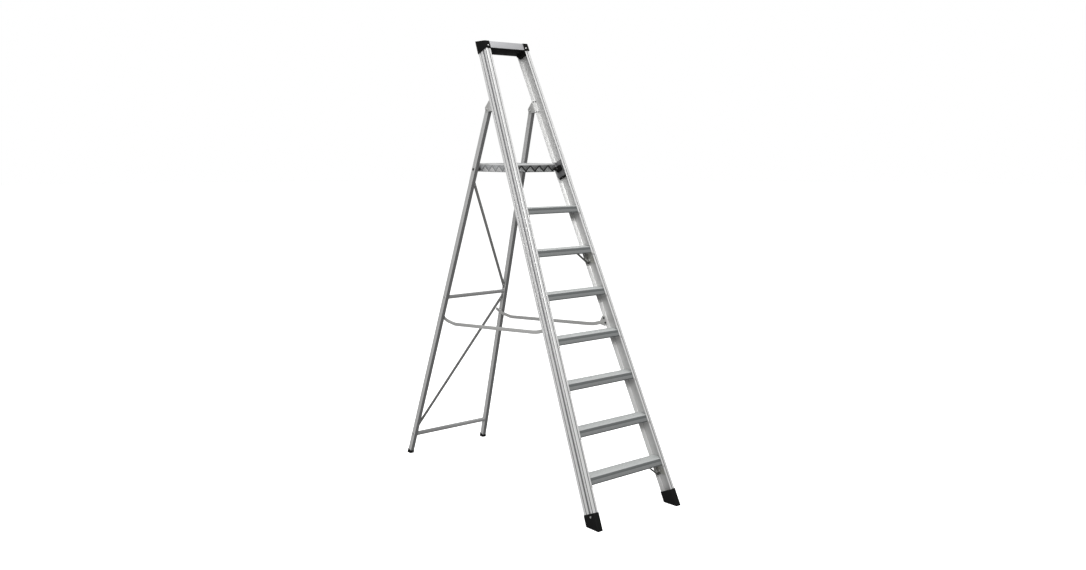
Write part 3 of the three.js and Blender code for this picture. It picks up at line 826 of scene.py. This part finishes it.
@dataclass
class KneeBrackets:
    """Folded brackets under the right-hand ends of two treads, with their bolts."""

    braced: tuple[int, ...] = (1, 6)
    edge: float = 0.7
    drop: float = 38.0
    strap_low: float = 62.0
    strap_y: float = 45.0
    foot: float = 22.0
    bend: float = 14.0
    plate: float = 5.0
    plate_bolts: tuple[Point, ...] = ((18.0, 30.0), (44.0, 62.0))
    across: float = 13.0
    head: float = 5.5

    def build(self) -> None:
        """Dresses the brackets and adds a bolt through each."""
        for number in self.braced:
            node = f"tread_{number}_knee_right"
            piece = Piece(f"{node}_finished", Body.FRONT, [ZINC, STRAP_PAINTED_SHADE], Slot.PLATED)
            piece.add_node(node, self.edge)
            top = LAYOUT.tread_top(number) - self.drop
            bend = LAYOUT.half_base - LAYOUT.taper * top - LAYOUT.web - self.bend
            # The strap, under the tread, gets painted shade.
            mark(piece.form, lambda place, bend=bend: place.x < bend * MM, 1)
            piece.hang(node)
            self._bolts(number)

    def _bolts(self, number: int) -> None:
        """Adds the bolts that hold one bracket to the stile's web and lip."""
        top = LAYOUT.tread_top(number) - self.drop
        web = LAYOUT.half_base - LAYOUT.taper * top - LAYOUT.web
        piece = Piece(f"knee_bolts_{number}", Body.FRONT,
                      [BOLT_STEEL, DARK_BOLT], Slot.FASTENER)
        for drop, depth in self.plate_bolts:
            z = top - drop
            place = (web - self.plate, LAYOUT.front_face(z) + depth, z)
            piece.add(hex_head(self.across, self.head), Matrix.Translation(place) @ INWARD, 0)
        foot = (web - self.foot, LAYOUT.front_face(top) + self.strap_y,
                top - self.strap_low)
        down = Matrix.Rotation(math.pi, 4, "X")
        piece.add(hex_head(self.across, self.head), Matrix.Translation(foot) @ down, 1)
        piece.hang()


@dataclass
class Shoes:
    """Black shoes under the stiles, each held by a screw."""

    edge: float = 2.2
    screw_run: float = 85.0
    screw_depth: float = 32.0
    screw_proud: float = 2.6
    screw: tuple[Point, ...] = ((-1.0, 0.0), (-1.0, 5.6), (0.6, 5.6), (1.8, 4.4),
                                (2.3, 2.0), (1.2, 1.8), (1.2, 0.0))

    def build(self) -> None:
        """Dresses the shoes and adds their screws."""
        for side in Side:
            soften(f"front_shoe_{side.word}", Body.FRONT, RUBBER, Slot.RUBBER, self.edge)
            piece = Piece(f"shoe_screw_{side.word}", Body.FRONT, [BOLT_STEEL], Slot.FASTENER)
            spot = Matrix.Translation((self.screw_proud, self.screw_depth, self.screw_run))
            piece.add(turned(self.screw, SCREW_TURNS), LAYOUT.on_stile(side) @ spot, 0)
            piece.hang()


@dataclass
class TopRail:
    """The hand rail across the top, its dark filling and its two corner caps."""

    edge: float = 1.6
    rivet: Point = (5.0, 2.2)
    rivet_place: Corner = (-19.0, -3.0, 2918.0)

    def build(self) -> None:
        """Dresses the rail, the filling and the caps, and adds a rivet to each cap."""
        soften("top_bar", Body.FRONT, TOP_METAL, Slot.EXTRUSION, SOFT_EDGE)
        soften("top_bar_infill", Body.FRONT, INFILL_PLASTIC, Slot.CAP, THIN_EDGE)
        for side in Side:
            soften(f"top_cap_{side.word}", Body.FRONT, CAP_PLASTIC, Slot.CAP, self.edge)
            piece = Piece(f"cap_rivets_{side.word}", Body.FRONT, [BOLT_STEEL], Slot.FASTENER)
            spot = Matrix.Translation(self.rivet_place) @ FORWARD
            piece.add(dome(*self.rivet), LAYOUT.on_stile(side) @ spot, 0)
            piece.hang()


@dataclass
class PlatformSeats:
    """Brackets, pads and studs inside the stiles that the platform rests on."""

    collar: Point = (11.0, 7.4)
    reach: Point = (157.5, 176.0)
    place: Point = (-13.7, 1921.0)
    heights: Point = (1900.0, 1994.0)
    plate: float = 4.3
    leaf: float = 2.2
    seat_half: float = 17.0
    seat_depth: Point = (40.0, 79.0)
    seat_thickness: float = 15.0
    seat_edge: float = 2.0
    roundness: float = 0.9
    gap: float = 0.2

    def build(self) -> None:
        """Dresses the seats and adds a black collar and block round each stud."""
        for side in Side:
            self._collar(side)
            self._leaf(side)
            soften(f"platform_bracket_{side.word}", Body.FRONT, DARK_STEEL, Slot.PLATED,
                   FINE_EDGE)
            soften(f"platform_pad_{side.word}", Body.FRONT, RUBBER, Slot.RUBBER, SOFT_EDGE)
            soften(f"platform_stud_{side.word}", Body.FRONT, BOLT_STEEL, Slot.FASTENER,
                   THIN_EDGE)

    def _collar(self, side: Side) -> None:
        """Adds the collar and the block between the platform and one bracket; the block's
        black is partly painted shadow.
        """
        (outer, inner), (near, far), (y, z) = self.collar, self.reach, self.place
        form = tube(oblong(outer, outer, outer * self.roundness), far - near, outer - inner)
        quarter = Matrix.Rotation(QUARTER * side.value, 4, "Y")
        spot = Matrix.Translation((near * side.value, y, z)) @ quarter
        piece = Piece(f"stud_collar_{side.word}", Body.FRONT, [RUBBER], Slot.RUBBER)
        piece.add(form, spot, 0)
        # The black block stands for the plastic hook round the stud and also paints the shadow
        # that falls there.
        run = LAYOUT.run(y, z)
        face = -LAYOUT.web - self.plate
        near_depth, far_depth = self.seat_depth
        form = block((face - self.seat_thickness, near_depth, run - self.seat_half),
                     (face - self.gap, far_depth, run + self.seat_half), self.seat_edge)
        piece.add(form, LAYOUT.on_stile(side), 0)
        piece.hang()

    def _leaf(self, side: Side) -> None:
        """Folds each bracket's leaf round onto the stile's rear flange."""
        low, high = (LAYOUT.run(LAYOUT.front_face(z), z) for z in self.heights)
        back = LAYOUT.stile_depth - LAYOUT.flange - self.gap
        form = block((-LAYOUT.stile_width, back - self.leaf, low),
                     (-LAYOUT.web - self.plate, back, high), FINE_EDGE)
        piece = Piece(f"bracket_leaf_{side.word}", Body.FRONT, [DARK_STEEL], Slot.PLATED)
        piece.add(form, LAYOUT.on_stile(side), 0)
        piece.hang()


@dataclass
class Hinges:
    """Brackets behind the stiles with the pins that the rear legs turn on."""

    rivet: Point = (4.5, 2.4)
    runs: tuple[float, ...] = (2526.0, 2594.0)
    columns: tuple[float, ...] = (-9.0, -25.0)

    def build(self) -> None:
        """Dresses the brackets and adds pins and rivets."""
        for side in Side:
            soften(f"hinge_bracket_{side.word}", Body.FRONT, STAY_METAL, Slot.PLATED,
                   THIN_EDGE)
            soften(f"hinge_pin_{side.word}", Body.FRONT, BOLT_STEEL, Slot.FASTENER, FINE_EDGE)
            piece = Piece(f"hinge_rivets_{side.word}", Body.FRONT, [DARK_BOLT], Slot.FASTENER)
            inner = LAYOUT.stile_depth - LAYOUT.flange
            for run in self.runs:
                for x in self.columns:
                    spot = Matrix.Translation((x, inner, run)) @ FORWARD
                    piece.add(dome(*self.rivet), LAYOUT.on_stile(side) @ spot, 0)
            piece.hang()


# ---------------------------------------------------------------- rear frame


@dataclass
class RearFrame:
    """Two rectangular legs joined by crossbars and diagonal bars."""

    corner: float = 3.2
    wall: float = 2.2
    head: float = 14.0
    head_slope: float = 0.55
    foot_edge: float = 1.8
    bar_wall: float = 2.0
    flare: float = 3.0
    bars: tuple[tuple[str, float, float], ...] = (("middle", 1097.0, 12.0),
                                                  ("bottom", 138.0, 14.0))
    braces: tuple[tuple[str, Point, Point], ...] = (
        ("upper", (223.0, 1132.0), (-180.0, 1836.0)),
        ("lower", (-275.0, 210.0), (225.0, 1062.0)),
    )
    brace_half: float = 7.5
    brace_depth: float = 10.0
    brace_edge: float = 2.0
    brace_rivet: Point = (4.5, 2.4)
    rivet_shares: Point = (0.02, 0.98)

    def build(self) -> None:
        """Builds legs, feet, pivots, crossbars and diagonal bars."""
        for side in Side:
            self._leg(side)
            soften(f"rear_foot_{side.word}", Body.REAR, RUBBER, Slot.RUBBER, self.foot_edge)
            soften(f"platform_pivot_{side.word}", Body.REAR, DARK_BOLT, Slot.FASTENER,
                   FINE_EDGE)
            soften(f"stay_pivot_{side.word}", Body.REAR, BOLT_STEEL, Slot.FASTENER, FINE_EDGE)
        for word, height, radius in self.bars:
            self._bar(word, height, radius)
        for word, low, high in self.braces:
            self._brace(word, low, high)

    def _leg(self, side: Side) -> None:
        """Draws one hollow leg with a slanted head."""
        start = LAYOUT.leg_start
        top = LAYOUT.hinge_height / math.cos(LAYOUT.rear_lean) + self.head
        corners = oblong(LAYOUT.leg_width / 2, LAYOUT.leg_depth / 2, self.corner)
        form = tube(corners, top - start, self.wall)
        for vert in form.verts:
            if vert.co.z > (top - start) / 2:
                vert.co.z -= self.head_slope * vert.co.y
        # The legs' front faces get painted shade.
        mark_facing(form, Vector((0.0, -1.0, 0.0)), 1)
        piece = Piece(f"hollow_leg_{side.word}", Body.REAR, [LEG_METAL, LEG_PAINTED_SHADE],
                      Slot.EXTRUSION)
        piece.add(form, LAYOUT.leg_place(side) @ Matrix.Translation((0, 0, start)))
        piece.hang(f"rear_leg_{side.word}")

    def _bar(self, word: str, height: float, radius: float) -> None:
        """Turns one crossbar and the flared ends outside the legs."""
        half = LAYOUT.leg_x(height) - LAYOUT.leg_width / 2 - 1.0
        wall, flare = self.bar_wall, self.flare
        profile = [
            (-half, radius - wall), (-half, radius + 2.0), (-half + flare, radius + 1.6),
            (-half + flare * 2, radius), (half - flare * 2, radius),
            (half - flare, radius + 1.6), (half, radius + 2.0), (half, radius - wall),
            (-half, radius - wall),
        ]
        place = LAYOUT.rear_plane() @ Matrix.Translation(
            (0, 0, height / math.cos(LAYOUT.rear_lean)))
        piece = Piece(f"round_crossbar_{word}", Body.REAR, [BAR_METAL], Slot.EXTRUSION)
        piece.add(turned(profile), place, 0)
        piece.hang(f"rear_crossbar_{word}")
        ends = Piece(f"crossbar_ends_{word}", Body.REAR, [LEG_METAL, DARK_BOLT],
                     Slot.FASTENER)
        outer = LAYOUT.leg_x(height) + LAYOUT.leg_width / 2
        ring = [(-1.0, radius * 0.4), (0.4, radius * 0.4), (1.6, radius * 0.6),
                (1.4, radius * 0.85), (0.2, radius), (-1.0, radius), (-1.0, radius * 0.4)]
        for side in Side:
            spot = Matrix.Translation((outer * side.value, 0, 0)) @ side.mirror
            ends.add(turned(ring), place @ spot, 0)
            ends.add(turned([(-1.0, 0.0), (-1.0, radius * 0.45), (0.1, radius * 0.45),
                             (0.1, 0.0)], HEAD_TURNS), place @ spot, 1)
        ends.hang()

    def _brace(self, word: str, low: Point, high: Point) -> None:
        """Draws one diagonal bar with a rivet near each end."""
        upright = math.cos(LAYOUT.rear_lean)
        a = Vector((low[0], low[1] / upright))
        b = Vector((high[0], high[1] / upright))
        way = b - a
        step = self.brace_half * way.length / abs(way.x)
        edge = self.brace_edge
        corners = [(a.x, a.y - step, edge), (b.x, b.y - step, edge),
                   (b.x, b.y + step, edge), (a.x, a.y + step, edge)]
        face = self.brace_depth / 2
        lay = LAYOUT.rear_plane() @ (Matrix.Translation((0, face, 0)) @ UPRIGHT)
        piece = Piece(f"diagonal_bar_{word}", Body.REAR, [BRACE_METAL, BOLT_STEEL],
                      Slot.EXTRUSION)
        piece.add(drawn(corners, self.brace_depth, edge), lay, 0)
        for share in self.rivet_shares:
            at = a + way * share
            spot = Matrix.Translation((at.x, -face, at.y)) @ FORWARD
            piece.add(dome(*self.brace_rivet), LAYOUT.rear_plane() @ spot, 1)
        piece.hang(f"brace_{word}")


# ---------------------------------------------------------------- moving pieces


@dataclass
class Platform:
    """The tray of chequer plate: raised bars in groups of five, turned by turns."""

    half: float = 155.0
    front: float = -27.7
    rear: float = 346.3
    top: float = 1953.0
    skirt: float = 50.0
    group: float = 48.93
    bar_length: float = 42.0
    bar_width: float = 6.6
    bar_rise: float = 1.1
    bar_pitch: float = 8.3
    pattern_rise: float = 14.3
    rim_height: float = 9.0
    rim_proud: float = 1.2
    rim_roundness: float = 0.8
    bars_per_group: int = 5
    edge: float = 1.4
    margin: float = 1.5
    bar_segments: tuple[int, int] = (10, 4)

    def build(self) -> None:
        """Dresses the tray and lays the bars on its top and skirts."""
        tray = Piece("platform_finished", Body.PLATFORM, [PLATE_METAL, PLATE_FRONT_PAINTED_SHADE],
                     Slot.WALKING)
        tray.add_node("platform", self.edge)
        # The front skirt gets a near-black ground of painted shade.
        mark(tray.form, lambda place: place.y < (self.front + 1.0) * MM, 1)
        tray.hang("platform")
        middle = (self.front + self.rear) / 2
        length = self.rear - self.front
        centre = self.top - self.skirt + self.skirt / 2
        sheets = {
            "top": (Matrix.Translation((0, middle, self.top)), self.half * 2, length, 0.0),
            "front": (Matrix.Translation((0, self.front, centre)) @ UPRIGHT,
                      self.half * 2, self.skirt, self.pattern_rise),
        }
        for side in Side:
            turn = Matrix.Rotation(QUARTER * side.value, 4, "Z")
            sheets[side.word] = (
                Matrix.Translation((side.value * self.half, middle, centre)) @ turn @ UPRIGHT,
                length, self.skirt, self.pattern_rise)
        for word, (place, width, height, rise) in sheets.items():
            self._bars(word, place, width, height, rise)
        self._rim()

    def _rim(self) -> None:
        """Rolls the bright edge round the tray's top."""
        out = self.rim_proud
        piece = Piece("platform_rim", Body.PLATFORM, [RIM_METAL], Slot.WALKING)
        rails = (
            ((-self.half - out, self.front - out), (self.half + out, self.front + out)),
            ((-self.half - out, self.rear - out), (self.half + out, self.rear + out)),
            ((-self.half - out, self.front - out), (-self.half + out, self.rear + out)),
            ((self.half - out, self.front - out), (self.half + out, self.rear + out)),
        )
        for low, high in rails:
            form = block((*low, self.top - self.rim_height), (*high, self.top + out),
                         out * self.rim_roundness)
            piece.add(form, finish=0)
        piece.hang()

    def _bars(self, word: str, place: Matrix, width: float, height: float,
              rise: float) -> None:
        """Lays the groups of bars on one face of the tray.

        Args:
            word: the face's name.
            place: matrix of the face's middle, Z outwards.
            width: size along the face's X.
            height: size along the face's Y.
            rise: how far the pattern's middle stands above the face's middle.
        """
        piece = Piece(f"chequer_bars_{word}", Body.PLATFORM, PLATFORM_BARS[word], Slot.WALKING)
        step = self.group / math.sqrt(2.0)
        columns, rows = int(width / step / 2) + 2, int(height / step / 2) + 2
        for i in range(-columns, columns + 1):
            for j in range(-rows, rows + 1):
                if (i + j) % 2:
                    continue
                self._group(piece, place, (i * step, j * step + rise), i % 2,
                            (width / 2, height / 2))
        piece.hang()

    def _group(self, piece: Piece, place: Matrix, middle: Point, turn: int,
               limits: Point) -> None:
        """Adds one group of parallel bars, leaving out those off the face."""
        slant = math.radians(45.0 if turn else -45.0)
        way = (math.cos(slant), math.sin(slant))
        for k in range(self.bars_per_group):
            off = (k - (self.bars_per_group - 1) / 2) * self.bar_pitch
            at = (middle[0] - way[1] * off, middle[1] + way[0] * off)
            low, high = -self.bar_length / 2, self.bar_length / 2
            for limit, place_on, share in zip(limits, at, way):
                ends = sorted(((side * (limit - self.margin) - place_on) / share)
                              for side in (-1, 1))
                low, high = max(low, ends[0]), min(high, ends[1])
            reach = (high - low) / 2
            if reach < self.bar_width / 2:
                continue
            centre = (low + high) / 2
            form = bmesh.new()
            around, along = self.bar_segments
            bmesh.ops.create_uvsphere(form, u_segments=around, v_segments=along, radius=1.0)
            size = Matrix.Diagonal((reach, self.bar_width / 2, self.bar_rise, 1.0))
            spot = (Matrix.Translation((at[0] + way[0] * centre, at[1] + way[1] * centre, 0))
                    @ Matrix.Rotation(slant, 4, "Z") @ size)
            # The turn also picks the finish, so painted light and shade change from group to
            # group.
            piece.add(form, place @ spot, turn)


@dataclass
class Stays:
    """Cranked flat bars that hold the rear frame open, with clips and bolts."""

    line: tuple[Point, ...] = ((660.3, 970.0), (586.3, 943.0), (500.3, 931.0),
                                (-279.7, 987.0), (-317.7, 992.0), (-381.7, 1010.0))
    offset: float = 286.0
    thickness: float = 4.0
    half_height: float = 11.0
    bend: float = 16.0
    clip_bolts: tuple[Point, ...] = ((-400.7, 1041.0), (-412.7, 1014.0))
    clip_face: float = 34.8
    clip_head: Point = (11.0, 5.0)
    end_round: float = 0.92
    edge: float = 1.3

    def outline(self) -> list[Corner]:
        """Outline of a stay seen from the side, with round ends and easy bends."""
        cosine = math.cos(math.atan(LAYOUT.taper))
        points = [Vector((y, z / cosine)) for y, z in self.line]
        ways = [(b - a).normalized() for a, b in zip(points, points[1:])]
        normals = [Vector((-way.y, way.x)) for way in ways]
        rows: list[list[Corner]] = [[], []]
        for index, point in enumerate(points):
            before = normals[max(index - 1, 0)]
            after = normals[min(index, len(normals) - 1)]
            middle = (before + after).normalized()
            reach = self.half_height / middle.dot(before)
            end = index in (0, len(points) - 1)
            radius = self.half_height * self.end_round if end else self.bend
            for row, sign in zip(rows, (1, -1)):
                at = point + middle * reach * sign
                row.append((at.x, at.y, radius))
        return rows[0] + rows[1][::-1]

    def build(self) -> None:
        """Draws both stays and dresses their clips."""
        for side in Side:
            body = Body.STAY_LEFT if side is Side.LEFT else Body.STAY_RIGHT
            form = drawn(self.outline(), self.thickness, self.edge)
            shift = -self.thickness if side is Side.RIGHT else 0.0
            place = (
                Matrix.Translation((side.value * self.offset, 0, 0))
                @ Matrix.Rotation(-side.value * math.atan(LAYOUT.taper), 4, "Y")
                @ Matrix.Translation((shift, 0, 0)) @ SIDEWAYS
            )
            piece = Piece(f"cranked_stay_{side.word}", body, [STAY_METAL], Slot.EXTRUSION)
            piece.add(form, place, 0)
            piece.hang(f"stay_{side.word}")
            soften(f"stay_clip_{side.word}", Body.FRONT, STAY_METAL, Slot.PLATED, THIN_EDGE)
            self._clip_bolts(side)

    def _clip_bolts(self, side: Side) -> None:
        """Adds the dark bolts of one clip."""
        piece = Piece(f"clip_bolts_{side.word}", Body.FRONT, [DARK_BOLT], Slot.FASTENER)
        for y, z in self.clip_bolts:
            depth = (y - LAYOUT.front_y) * math.cos(LAYOUT.lean) - z * math.sin(LAYOUT.lean)
            spot = Matrix.Translation((-self.clip_face, depth, LAYOUT.run(y, z))) @ INWARD
            piece.add(hex_head(*self.clip_head), LAYOUT.on_stile(side) @ spot, 0)
        piece.hang()


# ---------------------------------------------------------------- studio


@dataclass(frozen=True)
class Lamp:
    """One soft square light aimed at the ladder."""

    name: str
    place: tuple[float, float, float]
    size: float
    power: float


@dataclass
class Studio:
    """Pale floor, soft lights, pale surroundings and the camera."""

    camera_place: tuple[float, float, float] = (-3.9062, -4.7412, 2.0348)
    camera_turn: tuple[float, float, float] = (82.4, 0.0, -40.1015)
    lens: float = 33.527
    sensor: float = 36.0
    aim: tuple[float, float, float] = (0.0, 0.0, 1.2)
    floor_radius: float = 60.0
    floor_colour: Colour = (0.9, 0.9, 0.9)
    floor_glow: float = 0.75
    floor_steps: int = 96
    floor_roughness: float = 0.9
    floor_fleck: float = 0.99
    floor_grain: float = 3.0
    sky: Colour = (1.0, 1.0, 1.0)
    sky_strength: float = 0.42
    backdrop_strength: float = 1.0
    lamps: tuple[Lamp, ...] = (
        Lamp("key_front", (-5.4, -7.6, 8.4), 5.0, 1000.0),
        Lamp("left", (-9.5, -1.6, 4.2), 4.5, 230.0),
        Lamp("top", (-0.3, 0.2, 9.5), 4.5, 330.0),
    )

    def build(self) -> None:
        """Builds the whole studio."""
        self._floor()
        self._surroundings()
        for lamp in self.lamps:
            self._light(lamp)
        self._camera()

    def _floor(self) -> None:
        """Lays the floor."""
        form = bmesh.new()
        bmesh.ops.create_circle(form, cap_ends=True, segments=self.floor_steps,
                                radius=self.floor_radius)
        mesh = bpy.data.meshes.new("studio_floor")
        form.to_mesh(mesh)
        form.free()
        floor = bpy.data.objects.new("studio_floor", mesh)
        bench = NodeBench("floor_paper")
        fleck = tuple(channel * self.floor_fleck for channel in self.floor_colour)
        tone = bench.blend(bench.noise(self.floor_grain, 3.0), self.floor_colour, fleck)
        bench.link(tone, bench.shader.inputs["Base Color"])
        bench.shader.inputs["Roughness"].default_value = self.floor_roughness
        bench.shader.inputs["Emission Color"].default_value = (*self.sky, 1.0)
        bench.shader.inputs["Emission Strength"].default_value = self.floor_glow
        mesh.materials.append(bench.material)
        bpy.context.scene.collection.objects.link(floor)
        floor.visible_diffuse = False
        floor.visible_glossy = False

    def _surroundings(self) -> None:
        """Sets the pale surroundings and the plain display of tones."""
        scene = bpy.context.scene
        world = bpy.data.worlds.new("studio")
        world.use_nodes = True
        tree = world.node_tree
        soft = tree.nodes["Background"]
        soft.inputs["Color"].default_value = (*self.sky, 1.0)
        soft.inputs["Strength"].default_value = self.sky_strength
        backdrop = tree.nodes.new("ShaderNodeBackground")
        backdrop.inputs["Strength"].default_value = self.backdrop_strength
        backdrop.inputs["Color"].default_value = (*self.sky, 1.0)
        path = tree.nodes.new("ShaderNodeLightPath")
        mix = tree.nodes.new("ShaderNodeMixShader")
        tree.links.new(path.outputs["Is Camera Ray"], mix.inputs[0])
        tree.links.new(soft.outputs[0], mix.inputs[1])
        tree.links.new(backdrop.outputs[0], mix.inputs[2])
        tree.links.new(mix.outputs[0], tree.nodes["World Output"].inputs["Surface"])
        scene.world = world
        scene.view_settings.view_transform = "Standard"

    def _light(self, lamp: Lamp) -> None:
        """Hangs one lamp."""
        data = bpy.data.lights.new(lamp.name, "AREA")
        data.size = lamp.size
        data.energy = lamp.power
        light = bpy.data.objects.new(lamp.name, data)
        light.location = lamp.place
        way = Vector(self.aim) - Vector(lamp.place)
        light.rotation_euler = way.to_track_quat("-Z", "Y").to_euler()
        bpy.context.scene.collection.objects.link(light)

    def _camera(self) -> None:
        """Stands the camera and makes it the scene's own."""
        data = bpy.data.cameras.new("camera")
        data.lens = self.lens
        data.sensor_width = self.sensor
        data.clip_end = self.floor_radius * 3
        camera = bpy.data.objects.new("camera", data)
        camera.location = self.camera_place
        camera.rotation_euler = [math.radians(angle) for angle in self.camera_turn]
        bpy.context.scene.collection.objects.link(camera)
        bpy.context.scene.camera = camera


def main() -> None:
    """Builds the ladder and the studio in order."""
    logging.basicConfig(level=logging.INFO, format="%(name)s: %(message)s")
    assemblies = [Studio(), Stiles(), Treads(), KneeBrackets(), Shoes(), TopRail(),
                  PlatformSeats(), Hinges(), RearFrame(), Platform(), Stays()]
    for assembly in assemblies:
        assembly.build()


if __name__ == "__main__":
    main()
